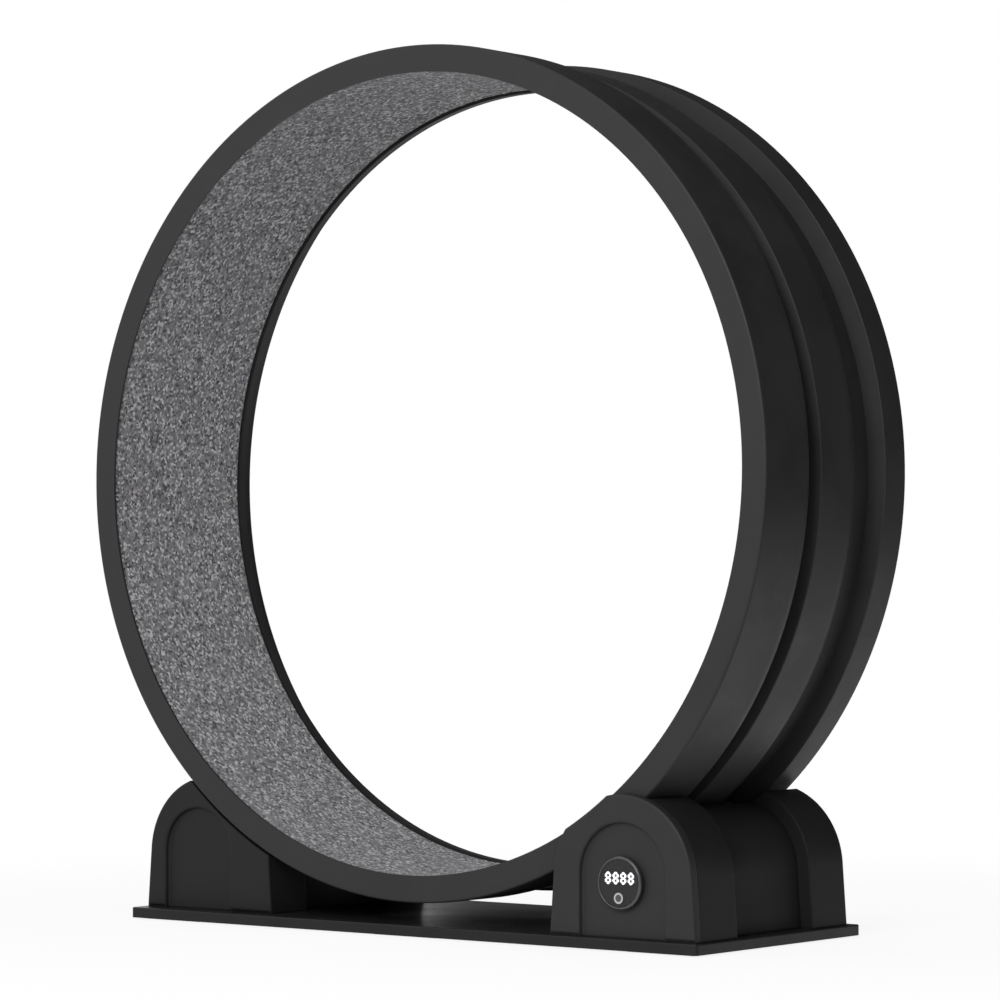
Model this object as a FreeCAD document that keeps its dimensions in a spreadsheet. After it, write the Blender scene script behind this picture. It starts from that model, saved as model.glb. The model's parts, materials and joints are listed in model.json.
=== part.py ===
import FreeCAD, Part
import os
import re
import Sketcher
from FreeCAD import Placement, Rotation, Vector

# A cat-size exercise wheel: a ribbed drum on four rollers, between two arched pedestals on a base plate.
# The drum's axis lies along Y, the front faces -Y, and the floor is at Z = 0 under the middle of the plate.

SIZES = {
    # drum
    "wheel_radius": 500,          # outside of the two lips
    "wheel_clearance": 38,        # lips above the floor
    "segment_count": 8,           # drum segments, joined at radial seams
    "seam_turn": 22.5,            # angle of the first seam
    "ring_width": 32,             # front ring, from the lips inward
    "ring_thickness": 3,          # front ring's flange, which the mat butts against
    "ring_round": 3,              # rounding between the front ring and the lip
    "crest_round": 1.5,           # rounding of the ridge's and the rear lip's front edges
    "mat_seat_depth": 25,         # lips down to the floor under the mat
    "floor_wall": 3.5,            # drum floor's thickness in the grooves
    "ridge_drop": 6,              # ridge's crest below the lips
    "lip_width": 78,              # strips of the drum, from the front ring to the rear
    "lip_slope": 24,
    "front_groove": 15,
    "wall_lean": 3,               # lean of the two steep front walls
    "ridge_width": 60,
    "ridge_slope": 26,
    "rear_groove": 35,
    "rear_lip_width": 43,
    "rear_round": 2,              # rounding of the drum's rear edge
    "mouth_wall": 3.5,            # rear lip's wall, outside the flared mouth
    "mouth_ramp": 28,             # length of the flare behind the bead
    "mat_thickness": 5,
    "bead_width": 10,             # rear bead that holds the mat
    "bead_lead": 7.5,             # bead's front edge, ahead of the rear lip's
    "glue_gap": 0.2,              # mat to drum
    # seam keys and the counter's magnet
    "key_sink": 10,               # middle of the keys below the lips
    "key_height": 10,
    "key_width": 24,
    "front_key_inset": 20,        # front keys behind the front ring's face
    "rear_key_width": 12,
    "rear_key_inset": 10,         # rear keys behind the rear lip's front wall
    "key_depth": 18,              # depth of a socket in each segment
    "fit_gap": 0.1,               # between a piece and the socket that holds it
    "magnet_radius": 4,
    "magnet_set": 43.5,           # magnet behind the front ring's face
    # base plate
    "plate_thickness": 12.5,
    "plate_end": 6,               # plate beyond the pedestals' feet
    "plate_front": 17.5,          # plate in front of the pedestals
    "plate_corner": 4,
    "plate_edge": 1.5,
    "pad_length": 90,
    "pad_width": 24,
    "pad_thickness": 3,
    "pad_stand": 1.5,             # how far the pads stand out of the plate
    "pad_inset": 12,              # pads to the plate's edges
    # pedestals
    "pedestal_shift": 14,         # middle of each pedestal, outboard of the rollers
    "front_margin": 1.5,          # right pedestal in front of the drum's ring
    "rear_margin": 9.5,           # pedestals behind the drum's rear edge
    "left_setback": 5,            # left pedestal's front, which the ring passes in front of
    "pedestal_height": 161,
    "foot_flare": 5,              # feet wider than the arch, on each side
    "arch_radius": 95,
    "middle_inset": 17,
    "shell_wall": 3,
    "saddle_gap": 4,              # lips to the saddle of a housing
    "edge_round": 2.5,
    "door_half": 70,              # opening between a housing and the middle cover
    "panel_shift": 18,            # recessed panel's middle, outboard of the pedestal's middle
    "panel_half": 52,
    "panel_drop": 38,             # panel's top below the pedestal's
    "panel_depth": 6,
    "panel_soften": 0.46,         # roundings of a recess's rim and floor, as shares of its depth
    "panel_backing": 4,           # wall behind a recess, beyond its rim
    "panel_rim": 0.5,             # least flat left between a recess and the drum's cut-out
    "foot_reveal": 3,             # shadow line along the plate
    "reveal_depth": 1.5,
    "boss_radius": 6,
    "boss_height": 25,
    "boss_merge": 1,              # bosses into the side walls
    "overcut": 1,                 # cuts past a face
    # console on the right pedestal
    "console_depth": 11,          # cover's thickness, in front of the drum's ring
    "console_half": 58,           # its recessed panel
    "console_drop": 32,
    "display_shift": 2,           # display inboard of the pedestal's middle
    "display_height": 62,         # display's middle above the plate
    "bezel_depth": 8,
    "bezel_wall": 5,
    "bezel_edge": 1.5,
    "window_step": 2.2,           # seat of the window in the bezel
    "window_thickness": 1.7,
    "window_sink": 0.1,
    "board_thickness": 1.6,
    "board_seat": 3,              # ring of console floor under the board
    "digits_gap": 0.3,            # digit module to the window
    "digits_length": 40,
    "digits_height": 16,
    "digits_rise": 5.5,           # digits above the display's middle
    "digits_margin": 0.87,        # digit module's corners to the bezel's bore
    "button_radius": 6.5,
    "button_rim": 1.3,            # button's flange, wider than its cap
    "button_margin": 0.5,         # flange to the bezel's bore
    "button_stand": 0.7,          # button's face in front of the window
    "button_travel": 0.8,
    "flange_thickness": 1,
    "slide_gap": 0.1,
    "switch_size": 6,
    "plunger_radius": 1.5,
    "plunger_height": 0.8,
    "cell_radius": 10,
    "cell_thickness": 3.2,
    "holder_wall": 1.9,
    "holder_floor": 1.2,
    "sensor_length": 16,
    "sensor_depth": 12,
    "sensor_height": 10,
    "sensor_offset": 16,          # sensor outboard of the pedestal's middle
    "sensor_gap": 1,              # sensor to the saddle above it
    # rollers
    "roller_angle": 35.64,        # rollers from straight below the drum's axis
    "roller_radius": 36,
    "roller_width": 12.6,
    "roller_room": 1.2,           # rear tyres behind the ridge's slope
    "roller_gap": 0.3,            # tyre to the groove's floor
    "tyre_depth": 10,
    "tyre_edge": 1.5,
    "bush_radius": 6,
    "bush_length": 14.6,
    "axle_radius": 4,
    "axle_head_radius": 7,
    "axle_head": 5,
    "run_gap": 0.05,              # running clearance on a radius
    "cheek_thickness": 3.5,
    "cheek_round": 6.5,
    "bracket_half": 36,
    "bracket_foot": 16,
    "bracket_gap": 0.4,           # rear brackets to the rear housings
    "window_gap": 4,              # roller windows around a roller
    # screws
    "screw_radius": 2,
    "screw_head_radius": 4,
    "screw_head": 2.5,
    "screw_grip": 12,             # depth in a boss or bracket
    "screw_inset": 8,             # bracket screws from the bracket's ends
    "screw_tip_gap": 1,           # screws to the ends of their holes
    "console_grip": 7,
    "console_screw_inset": 14,    # console screws from the cover's edge
    "console_screw_low": 20,      # lower ones above the plate
    "console_screw_rise": 19,     # upper one above the arch's spring line
}

# places that follow from the sizes
PLACES = {
    # drum, with radii from its axis and lengths from the pedestals' middle towards the rear
    "wheel_height": "wheel_radius + wheel_clearance",
    "ring_inner_radius": "wheel_radius - ring_width",
    "mat_seat_radius": "wheel_radius - mat_seat_depth",
    "track_radius": "mat_seat_radius + floor_wall",
    "ridge_radius": "wheel_radius - ridge_drop",
    "mouth_radius": "wheel_radius - mouth_wall",
    "key_radius": "wheel_radius - key_sink",
    "front_strips": "lip_width + lip_slope + front_groove + wall_lean + ridge_width",
    "rear_strips": "ridge_slope + rear_groove + wall_lean + rear_lip_width",
    "wheel_width": "front_strips + rear_strips",
    "pedestal_depth": "front_margin + wheel_width + rear_margin",
    "front_face": "-pedestal_depth / 2",
    "drum_front": "front_face + front_margin",
    "drum_rear": "drum_front + wheel_width",
    "lip_fall": "wheel_radius - track_radius",
    "lip_curve": "(lip_slope^2 + lip_fall^2) / (2 * lip_fall)",
    "lip_end": "drum_front + lip_width",
    "groove_start": "lip_end + lip_slope",
    "ridge_foot": "groove_start + front_groove",
    "ridge_front": "ridge_foot + wall_lean",
    "ridge_end": "ridge_front + ridge_width",
    "ridge_fall": "ridge_radius - track_radius",
    "ridge_curve": "(ridge_slope^2 + ridge_fall^2) / (2 * ridge_fall)",
    "rear_groove_start": "ridge_end + ridge_slope",
    "rear_lip_front": "drum_rear - rear_lip_width",
    "rear_flat_end": "drum_rear - rear_round",
    "mat_front": "drum_front + ring_thickness",
    "mat_rear": "rear_lip_front - bead_lead",
    "bead_end": "mat_rear + bead_width",
    "front_key": "drum_front + front_key_inset",
    "rear_key": "rear_lip_front + rear_key_inset",
    "magnet_row": "drum_front + magnet_set",
    # rollers
    "axle_circle": "track_radius + roller_radius + roller_gap",
    "roller_offset": "axle_circle * sin(roller_angle)",
    "axle_height": "wheel_height - axle_circle * cos(roller_angle)",
    "front_roller": "(groove_start + ridge_foot) / 2",
    "rear_roller": "rear_groove_start + roller_room + roller_width / 2",
    "cheek_half": "bush_length / 2 + cheek_thickness",
    # pedestals and base plate
    "foot_half": "arch_radius + foot_flare",
    "pedestal_offset": "roller_offset + pedestal_shift",
    "middle_depth": "2 * (rear_roller + cheek_half + bracket_gap)",
    "plate_length": "2 * (pedestal_offset + foot_half + plate_end)",
    "plate_depth": "pedestal_depth + 2 * plate_front",
    "plate_top": "pad_stand + plate_thickness",
    "arch_spring": "plate_top + pedestal_height - arch_radius",
    "panel_round": "panel_soften * panel_depth",
    "panel_middle": "pedestal_offset + panel_shift",
    "rim_reach": "edge_round + panel_rim + panel_round",
    "panel_circle": "wheel_radius + saddle_gap + rim_reach + panel_half",
    "panel_limit": "wheel_height - sqrt(panel_circle^2 - panel_middle^2)",
    "panel_spring": "min(plate_top + pedestal_height - panel_drop - panel_half; panel_limit)",
    "console_circle": "ring_inner_radius + rim_reach + console_half",
    "console_limit": "wheel_height - sqrt(console_circle^2 - pedestal_offset^2)",
    "console_spring": "min(plate_top + pedestal_height - console_drop - console_half; console_limit)",
    "boss_reach": "foot_half - shell_wall - boss_radius + boss_merge",
    "boss_row": "(pedestal_depth + middle_depth) / 4",
    # display, with depths from the console's recessed face towards the rear
    "panel_face": "front_face - console_depth + panel_depth",
    "display_x": "pedestal_offset - display_shift",
    "display_z": "plate_top + display_height",
    "digits_reach": "sqrt((digits_length / 2)^2 + (digits_rise + digits_height / 2)^2)",
    "bezel_bore": "digits_reach + digits_margin",
    "bezel_radius": "bezel_bore + bezel_wall",
    "window_front": "window_sink - bezel_depth",
    "window_back": "window_front + window_thickness",
    "digits_thickness": "-window_back - board_thickness - digits_gap",
    "button_drop": "bezel_bore - button_radius - button_rim - button_margin",
    "flange_front": "window_back + slide_gap",
    "flange_back": "flange_front + flange_thickness",
    "plunger_tip": "flange_back + button_travel + slide_gap",
    "holder_size": "2 * (cell_radius + fit_gap + holder_wall)",
    "holder_depth": "holder_floor + cell_thickness",
}

doc = FreeCAD.newDocument("exercise_wheel")
sheet = doc.addObject("Spreadsheet::Sheet", "Sizes")
cells = {name: str(value) for name, value in SIZES.items()}
cells.update({name: f"={formula}" for name, formula in PLACES.items()})
for row, (name, content) in enumerate(cells.items(), start=1):
    sheet.set(f"A{row}", name)
    sheet.set(f"B{row}", content)
    sheet.setAlias(f"B{row}", name)
doc.recompute()

SIDES = {"left": "-1", "right": "1"}
ENDS = {"front": "front_roller", "rear": "rear_roller"}
TOUCH = 0.01                      # within this, an edge or face is at the place it is picked by
subparts = []


def linked(text):
    return re.sub(r"[a-z][a-z_]*", lambda m: f"Sizes.{m[0]}" if m[0] in cells else m[0], text)


def size(text):
    return float(sheet.evalExpression(text))


def bind(target, prop, text):
    target.setExpression(prop, linked(text))


def place(target, x="0", y="0", z="0"):
    for axis, text in zip("xyz", (x, y, z)):
        bind(target, f"Placement.Base.{axis}", text)


def new_body(label):
    body = doc.addObject("PartDesign::Body", label)
    body.Label = label
    subparts.append(body)
    return body


def new_sketch(body, role, offset="0"):
    sketch = body.newObject("Sketcher::SketchObject", f"{body.Name}_sketch")
    plane = next(item for item in body.Origin.OriginFeatures if item.Role == role)
    sketch.AttachmentSupport = (plane, [""])
    sketch.MapMode = "FlatFace"
    bind(sketch, "AttachmentOffset.Base.z", offset)
    return sketch


def upright_sketch(body, y="0"):
    # sketch x is X, sketch y is Z, and its normal points to -Y
    return new_sketch(body, "XZ_Plane", f"-({y})")


def dimension(sketch, kind, items, text):
    index = sketch.addConstraint(Sketcher.Constraint(kind, *items, size(text)))
    bind(sketch, f"Constraints[{index}]", text)


def fix_point(sketch, edge, end, x, y):
    dimension(sketch, "DistanceX", (-1, 1, edge, end), x)
    dimension(sketch, "DistanceY", (-1, 1, edge, end), y)


def draw(sketch, corners):
    # each corner is (x, y), or (x, y, centre) where an arc about the centre leads to the next corner,
    # the shorter way round or over the top
    points = [Vector(size(corner[0]), size(corner[1]), 0) for corner in corners]
    edges = []
    for index, corner in enumerate(corners):
        start = points[index]
        end = points[(index + 1) % len(points)]
        if len(corner) == 2:
            edges.append((sketch.addGeometry(Part.LineSegment(start, end)), 1, 2))
            continue
        centre = Vector(size(corner[2][0]), size(corner[2][1]), 0)
        left_turn = "over" in corner or (start - centre).cross(end - centre).z > -TOUCH
        circle = Part.Circle(centre, Vector(0, 0, 1), (start - centre).Length)
        first, last = (start, end) if left_turn else (end, start)
        arc = Part.ArcOfCircle(circle, circle.parameter(first), circle.parameter(last))
        edges.append((sketch.addGeometry(arc), 1, 2) if left_turn else (sketch.addGeometry(arc), 2, 1))
    for index, (edge, start, end) in enumerate(edges):
        following = edges[(index + 1) % len(edges)]
        sketch.addConstraint(Sketcher.Constraint("Coincident", edge, end, following[0], following[1]))
    for index, (edge, start, end) in enumerate(edges):
        fix_point(sketch, edge, start, corners[index][0], corners[index][1])
        if len(corners[index]) > 2:
            chord = points[(index + 1) % len(points)] - points[index]
            axis = 1 if abs(chord.x) > abs(chord.y) else 0
            kind = ("DistanceX", "DistanceY")[axis]
            dimension(sketch, kind, (-1, 1, edge, 3), corners[index][2][axis])


def draw_box(sketch, x_low, x_high, y_low, y_high):
    draw(sketch, [(x_low, y_low), (x_high, y_low), (x_high, y_high), (x_low, y_high)])


def draw_circle(sketch, x, y, radius):
    circle = Part.Circle(Vector(size(x), size(y), 0), Vector(0, 0, 1), size(radius))
    edge = sketch.addGeometry(circle)
    fix_point(sketch, edge, 3, x, y)
    dimension(sketch, "Radius", (edge,), radius)


def arch(middle, foot, radius, spring, base):
    # straight sides that rise from the feet and meet the round top smoothly
    rise = f"(({spring}) - ({base}))"
    away = f"(({foot})^2 + {rise}^2)"
    side = f"sqrt({away} - ({radius})^2)"
    across = f"(({radius}) * (({radius}) * ({foot}) + {side} * {rise}) / {away})"
    up = f"(({radius}) * ({side} * ({foot}) - ({radius}) * {rise}) / {away})"
    return [
        (f"{middle} - ({foot})", base),
        (f"{middle} + ({foot})", base),
        (f"{middle} + {across}", f"{spring} + {up}", (middle, spring), "over"),
        (f"{middle} - {across}", f"{spring} + {up}"),
    ]


def pad(body, sketch, length, backwards=False):
    feature = body.newObject("PartDesign::Pad", f"{body.Name}_pad")
    feature.Profile = sketch
    bind(feature, "Length", length)
    feature.Reversed = backwards
    doc.recompute()


def pocket(body, sketch, length=None, backwards=False):
    before = body.Shape.Volume
    feature = body.newObject("PartDesign::Pocket", f"{body.Name}_pocket")
    feature.Profile = sketch
    if length is None:
        feature.Type = "ThroughAll"
        feature.SideType = "Symmetric"
    else:
        bind(feature, "Length", length)
        feature.Reversed = backwards
    doc.recompute()
    if length is not None and body.Shape.Volume >= before:
        raise RuntimeError(f"{body.Label}: a pocket cuts nothing")


def revolve(body, sketch, angle="360"):
    feature = body.newObject("PartDesign::Revolution", f"{body.Name}_turn")
    feature.Profile = sketch
    feature.ReferenceAxis = (sketch, ["V_Axis"])
    bind(feature, "Angle", angle)
    doc.recompute()


def dress(body, kind, amount, edges):
    numbered = enumerate(body.Shape.Edges, start=1)
    names = [f"Edge{index}" for index, edge in numbered if edges(edge.BoundBox)]
    if not names:
        return
    base = body.Tip
    feature = body.newObject(f"PartDesign::{kind}", f"{body.Name}_{kind.lower()}")
    feature.Base = (base, names)
    bind(feature, "Radius" if kind == "Fillet" else "Size", amount)
    doc.recompute()


def hollow(body, wall, open_faces):
    numbered = enumerate(body.Shape.Faces, start=1)
    names = [f"Face{index}" for index, face in numbered if open_faces(face.BoundBox)]
    base = body.Tip
    feature = body.newObject("PartDesign::Thickness", f"{body.Name}_shell")
    feature.Base = (base, names)
    bind(feature, "Value", wall)
    feature.Join = "Intersection"
    feature.Reversed = True
    doc.recompute()


def near(value, text):
    return abs(value - size(text)) < TOUCH


def flat_at(box, axis, text):
    low = getattr(box, f"{axis}Min")
    high = getattr(box, f"{axis}Max")
    return near(low, text) and near(high, text)


def solid(kind, name, **sizes):
    item = doc.addObject(f"Part::{kind}", name)
    for prop, text in sizes.items():
        bind(item, prop, text)
    return item


def group(label, items):
    compound = doc.addObject("Part::Compound", label)
    compound.Links = items
    compound.Label = label
    subparts.append(compound)


def turned(placement, text):
    # the placement, turned about the drum's axis by an angle
    axis_point = Vector(0, 0, size("wheel_height"))
    return Placement(axis_point, Rotation(Vector(0, 1, 0), size(text))).multiply(placement)


# base plate, with its pads and screw holes


def pad_places():
    reach_x = "(plate_length / 2 - pad_inset - pad_length)"
    reach_y = "(plate_depth / 2 - pad_inset - pad_width)"
    columns = [f"-{reach_x} - pad_length", "-pad_length / 2", reach_x]
    rows = [f"-{reach_y} - pad_width", reach_y]
    return [(column, line) for column in columns for line in rows]


def base_screw_places():
    places = []
    for side in SIDES.values():
        for reach in ("-boss_reach", "boss_reach"):
            for end in ("-1", "1"):
                places.append((f"{side} * pedestal_offset + {reach}", f"{end} * boss_row"))
        for roller_y in ENDS.values():
            for reach in ("-(bracket_half - screw_inset)", "(bracket_half - screw_inset)"):
                places.append((f"{side} * roller_offset + {reach}", roller_y))
    return places


def base_plate():
    body = new_body("base_plate")
    sketch = new_sketch(body, "XY_Plane", "pad_stand")
    draw_box(sketch, "-plate_length / 2", "plate_length / 2", "-plate_depth / 2", "plate_depth / 2")
    pad(body, sketch, "plate_thickness")
    dress(body, "Fillet", "plate_corner", lambda box: box.ZLength > size("plate_thickness") / 2)
    dress(body, "Fillet", "plate_edge", lambda box: flat_at(box, "Z", "plate_top"))
    seats = new_sketch(body, "XY_Plane", "pad_stand")
    for x, y in pad_places():
        draw_box(seats, f"{x} - fit_gap", f"{x} + pad_length + fit_gap",
                 f"{y} - fit_gap", f"{y} + pad_width + fit_gap")
    pocket(body, seats, "pad_thickness - pad_stand", backwards=True)
    shanks = new_sketch(body, "XY_Plane", "pad_stand")
    heads = new_sketch(body, "XY_Plane", "pad_stand")
    for x, y in base_screw_places():
        draw_circle(shanks, x, y, "screw_radius + run_gap")
        draw_circle(heads, x, y, "screw_head_radius + run_gap")
    pocket(body, shanks)
    pocket(body, heads, "screw_head", backwards=True)


def anti_slip_pads():
    strips = []
    for index, (x, y) in enumerate(pad_places()):
        strip = solid("Box", f"pad_strip_{index}",
                      Length="pad_length", Width="pad_width", Height="pad_thickness")
        place(strip, x, y)
        strips.append(strip)
    group("anti_slip_pads", strips)


def screw(name, grip, turn, x, y, z):
    # head at the placement, shank along its +Z
    head = solid("Cylinder", f"{name}_head", Radius="screw_head_radius", Height="screw_head")
    shank = solid("Cylinder", f"{name}_shank", Radius="screw_radius", Height=f"screw_head + {grip}")
    whole = doc.addObject("Part::Fuse", name)
    whole.Base = head
    whole.Tool = shank
    whole.Placement = Placement(Vector(), turn)
    place(whole, x, y, z)
    return whole


def base_screws():
    grip = "plate_thickness - screw_head + screw_grip - screw_tip_gap"
    screws = []
    for index, (x, y) in enumerate(base_screw_places()):
        screws.append(screw(f"base_screw_{index}", grip, Rotation(), x, y, "pad_stand"))
    group("base_screws", screws)


# pedestals


def saddle(body, radius):
    ring = upright_sketch(body)
    draw_circle(ring, "0", "wheel_height", radius)
    pocket(body, ring)


def follows_drum(box, radius):
    # whether an edge's two ends lie on a circle about the drum's axis
    near_x, far_x = sorted((abs(box.XMin), abs(box.XMax)))
    low = Vector(near_x, box.ZMin - size("wheel_height"))
    high = Vector(far_x, box.ZMax - size("wheel_height"))
    return near(low.Length, radius) and near(high.Length, radius)


def round_face(body, face, cut_radius):
    # rounds a flat front or rear face along the drum's cut-out, then along the sides and the top
    for along_drum in (True, False):
        dress(body, "Fillet", "edge_round", lambda box: flat_at(box, "Y", face) and box.ZLength > TOUCH
              and follows_drum(box, cut_radius) == along_drum)


def panel(body, face, end, middle, half, spring):
    # a recessed arch, open at the foot, with a rounded rim and floor
    recess = upright_sketch(body, face)
    draw(recess, arch(middle, half, half, spring, "plate_top - panel_depth"))
    pocket(body, recess, "panel_depth", backwards=end > 0)
    x = size(middle)
    reach = size(half) + TOUCH
    for level in (face, f"{face} - {end} * panel_depth"):
        dress(body, "Fillet", "panel_round", lambda box: flat_at(box, "Y", level) and box.ZLength > TOUCH
              and box.XMin > x - reach and box.XMax < x + reach)


def reveal(body, face, end, middle):
    # a shadow line between a front or rear face and the plate
    groove = upright_sketch(body, face)
    reach = "(foot_half + overcut)"
    draw_box(groove, f"{middle} - {reach}", f"{middle} + {reach}",
             "plate_top - overcut", "plate_top + foot_reveal")
    pocket(body, groove, "reveal_depth", backwards=end > 0)


def housing(side, end, has_panel):
    sign = SIDES[side]
    front = end == "front"
    outward = "-1" if front else "1"
    middle = f"({sign} * pedestal_offset)"
    setback = "left_setback" if front and side == "left" else "0"
    depth = f"((pedestal_depth - middle_depth) / 2 - {setback})"
    inner = f"({outward} * middle_depth / 2)"
    face = f"({inner} + {outward} * {depth})"
    body = new_body(f"{side}_{end}_housing")
    outline = upright_sketch(body, inner)
    draw(outline, arch(middle, "foot_half", "arch_radius", "arch_spring", "plate_top"))
    pad(body, outline, depth, backwards=not front)
    saddle(body, "wheel_radius + saddle_gap")
    hollow(body, "shell_wall", lambda box: flat_at(box, "Z", "plate_top"))
    if has_panel:
        round_face(body, face, "wheel_radius + saddle_gap")
    door = upright_sketch(body, inner)
    draw_box(door, f"{middle} - door_half", f"{middle} + door_half", "plate_top - overcut", "arch_spring")
    pocket(body, door, "shell_wall + overcut", backwards=front)
    bosses = new_sketch(body, "XY_Plane", "plate_top")
    pilots = new_sketch(body, "XY_Plane", "plate_top")
    for reach in ("-boss_reach", "boss_reach"):
        draw_circle(bosses, f"{middle} + {reach}", f"{outward} * boss_row", "boss_radius")
        draw_circle(pilots, f"{middle} + {reach}", f"{outward} * boss_row", "screw_radius + run_gap")
    pad(body, bosses, "boss_height")
    pocket(body, pilots, "screw_grip", backwards=True)
    if has_panel:
        shift = f"({middle} + {sign} * panel_shift)"
        backing = upright_sketch(body, f"{face} - {outward} * shell_wall / 2")
        half = "(panel_half + panel_backing)"
        draw(backing, arch(shift, half, half, "panel_spring", "plate_top"))
        pad(body, backing, "panel_depth + shell_wall / 2", backwards=front)
        saddle(body, "wheel_radius + saddle_gap")
        panel(body, face, int(outward), shift, "panel_half", "panel_spring")
        reveal(body, face, int(outward), middle)
    else:
        holes = upright_sketch(body, face)
        for x, z in console_screw_places():
            draw_circle(holes, x, z, "screw_radius + run_gap")
        pocket(body, holes, "shell_wall + overcut")


def middle_cover(side):
    middle = f"({SIDES[side]} * pedestal_offset)"
    body = new_body(f"{side}_middle_cover")
    outline = upright_sketch(body, "middle_depth / 2")
    half = "(arch_radius - middle_inset)"
    draw(outline, arch(middle, "foot_half - middle_inset", half, "arch_spring", "plate_top"))
    pad(body, outline, "middle_depth")
    saddle(body, "wheel_radius + saddle_gap")
    hollow(body, "shell_wall", lambda box: flat_at(box, "Z", "plate_top") or box.YLength < TOUCH)
    windows = new_sketch(body, "XY_Plane", "plate_top")
    reach = "(roller_radius + window_gap)"
    contact = f"({SIDES[side]} * (wheel_radius + saddle_gap) * sin(roller_angle))"
    half_x = f"({reach} * cos(roller_angle))"
    for roller_y in ENDS.values():
        half_y = "(roller_width / 2 + window_gap / 2)"
        draw_box(windows, f"{contact} - {half_x}", f"{contact} + {half_x}",
                 f"{roller_y} - {half_y}", f"{roller_y} + {half_y}")
    pocket(body, windows)


# console with the display


def console_screw_places():
    inner = "pedestal_offset - foot_half + console_screw_inset"
    outer = "pedestal_offset + foot_half - console_screw_inset"
    low = "plate_top + console_screw_low"
    upper = "pedestal_offset + arch_radius - console_screw_inset"
    return [(inner, low), (outer, low), (upper, "arch_spring + console_screw_rise")]


def console_cover():
    body = new_body("console_cover")
    outline = upright_sketch(body, "front_face")
    draw(outline, arch("pedestal_offset", "foot_half", "arch_radius", "arch_spring", "plate_top"))
    pad(body, outline, "console_depth")
    trim = upright_sketch(body)
    draw_circle(trim, "0", "wheel_height", "ring_inner_radius")
    pocket(body, trim)
    face = "(front_face - console_depth)"
    round_face(body, face, "ring_inner_radius")
    panel(body, face, -1, "pedestal_offset", "console_half", "console_spring")
    reveal(body, face, -1, "pedestal_offset")
    bore = upright_sketch(body)
    draw_circle(bore, "display_x", "display_z", "bezel_radius - bezel_wall - board_seat")
    pocket(body, bore)
    pilots = upright_sketch(body, "front_face")
    for x, z in console_screw_places():
        draw_circle(pilots, x, z, "screw_radius + run_gap")
    pocket(body, pilots, "console_grip", backwards=True)


def console_screws():
    grip = "shell_wall + console_grip - screw_tip_gap"
    turn = Rotation(Vector(1, 0, 0), 90)
    y = "front_face + shell_wall + screw_head"
    screws = []
    for index, (x, z) in enumerate(console_screw_places()):
        screws.append(screw(f"console_screw_{index}", grip, turn, x, y, z))
    group("console_screws", screws)


def display_body(label):
    body = new_body(label)
    place(body, "display_x", "panel_face", "display_z")
    return body


def display_bezel():
    body = display_body("display_bezel")
    section = new_sketch(body, "XY_Plane")
    seat = "(bezel_bore + window_step)"
    draw(section, [
        ("bezel_bore", "0"), ("bezel_radius", "0"), ("bezel_radius", "bezel_edge - bezel_depth"),
        ("bezel_radius - bezel_edge", "-bezel_depth"), (seat, "-bezel_depth"),
        (seat, "window_back"), ("bezel_bore", "window_back"),
    ])
    revolve(body, section)


def display_window():
    body = display_body("display_window")
    disc = upright_sketch(body, "window_back")
    draw_circle(disc, "0", "0", "bezel_bore + window_step - run_gap")
    draw_circle(disc, "0", "-button_drop", "button_radius + slide_gap")
    pad(body, disc, "window_thickness")


def circuit_board():
    body = display_body("circuit_board")
    disc = upright_sketch(body)
    draw_circle(disc, "0", "0", "bezel_bore - fit_gap")
    pad(body, disc, "board_thickness")


def digit_module():
    body = display_body("digit_module")
    block = upright_sketch(body, "-board_thickness")
    draw_box(block, "-digits_length / 2", "digits_length / 2",
             "digits_rise - digits_height / 2", "digits_rise + digits_height / 2")
    pad(body, block, "digits_thickness")


def button_switch():
    body = display_body("button_switch")
    case = upright_sketch(body, "-board_thickness")
    draw_box(case, "-switch_size / 2", "switch_size / 2",
             "-button_drop - switch_size / 2", "switch_size / 2 - button_drop")
    pad(body, case, "-board_thickness - plunger_tip - plunger_height")
    plunger = upright_sketch(body, "plunger_tip + plunger_height")
    draw_circle(plunger, "0", "-button_drop", "plunger_radius")
    pad(body, plunger, "plunger_height")


def push_button():
    body = display_body("push_button")
    flange = upright_sketch(body, "flange_back")
    draw_circle(flange, "0", "-button_drop", "button_radius + button_rim")
    pad(body, flange, "flange_thickness")
    cap = upright_sketch(body, "flange_front")
    draw_circle(cap, "0", "-button_drop", "button_radius")
    pad(body, cap, "flange_front - window_front + button_stand")


def cell_holder():
    body = display_body("cell_holder")
    block = upright_sketch(body, "holder_depth")
    draw_box(block, "-holder_size / 2", "holder_size / 2", "-holder_size / 2", "holder_size / 2")
    pad(body, block, "holder_depth")
    well = upright_sketch(body, "holder_depth")
    draw_circle(well, "0", "0", "cell_radius + fit_gap")
    pocket(body, well, "cell_thickness", backwards=True)


def coin_cell():
    body = display_body("coin_cell")
    disc = upright_sketch(body, "holder_depth")
    draw_circle(disc, "0", "0", "cell_radius")
    pad(body, disc, "cell_thickness")


def counter_sensor():
    body = new_body("counter_sensor")
    block = upright_sketch(body, "front_face + shell_wall + sensor_depth")
    inner = "(pedestal_offset + sensor_offset - sensor_length / 2)"
    roof = "(wheel_radius + saddle_gap + shell_wall + sensor_gap)"
    side = "(arch_radius - shell_wall - sensor_gap)"
    under_saddle = f"wheel_height - sqrt({roof}^2 - {inner}^2)"
    under_arch = f"arch_spring + sqrt({side}^2 - (sensor_offset + sensor_length / 2)^2)"
    top = f"min({under_saddle}; {under_arch})"
    draw_box(block, inner, f"{inner} + sensor_length", f"{top} - sensor_height", top)
    pad(body, block, "sensor_depth")


# drum


def key_rows():
    return [("front_key", "key_width"), ("rear_key", "rear_key_width")]


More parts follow.
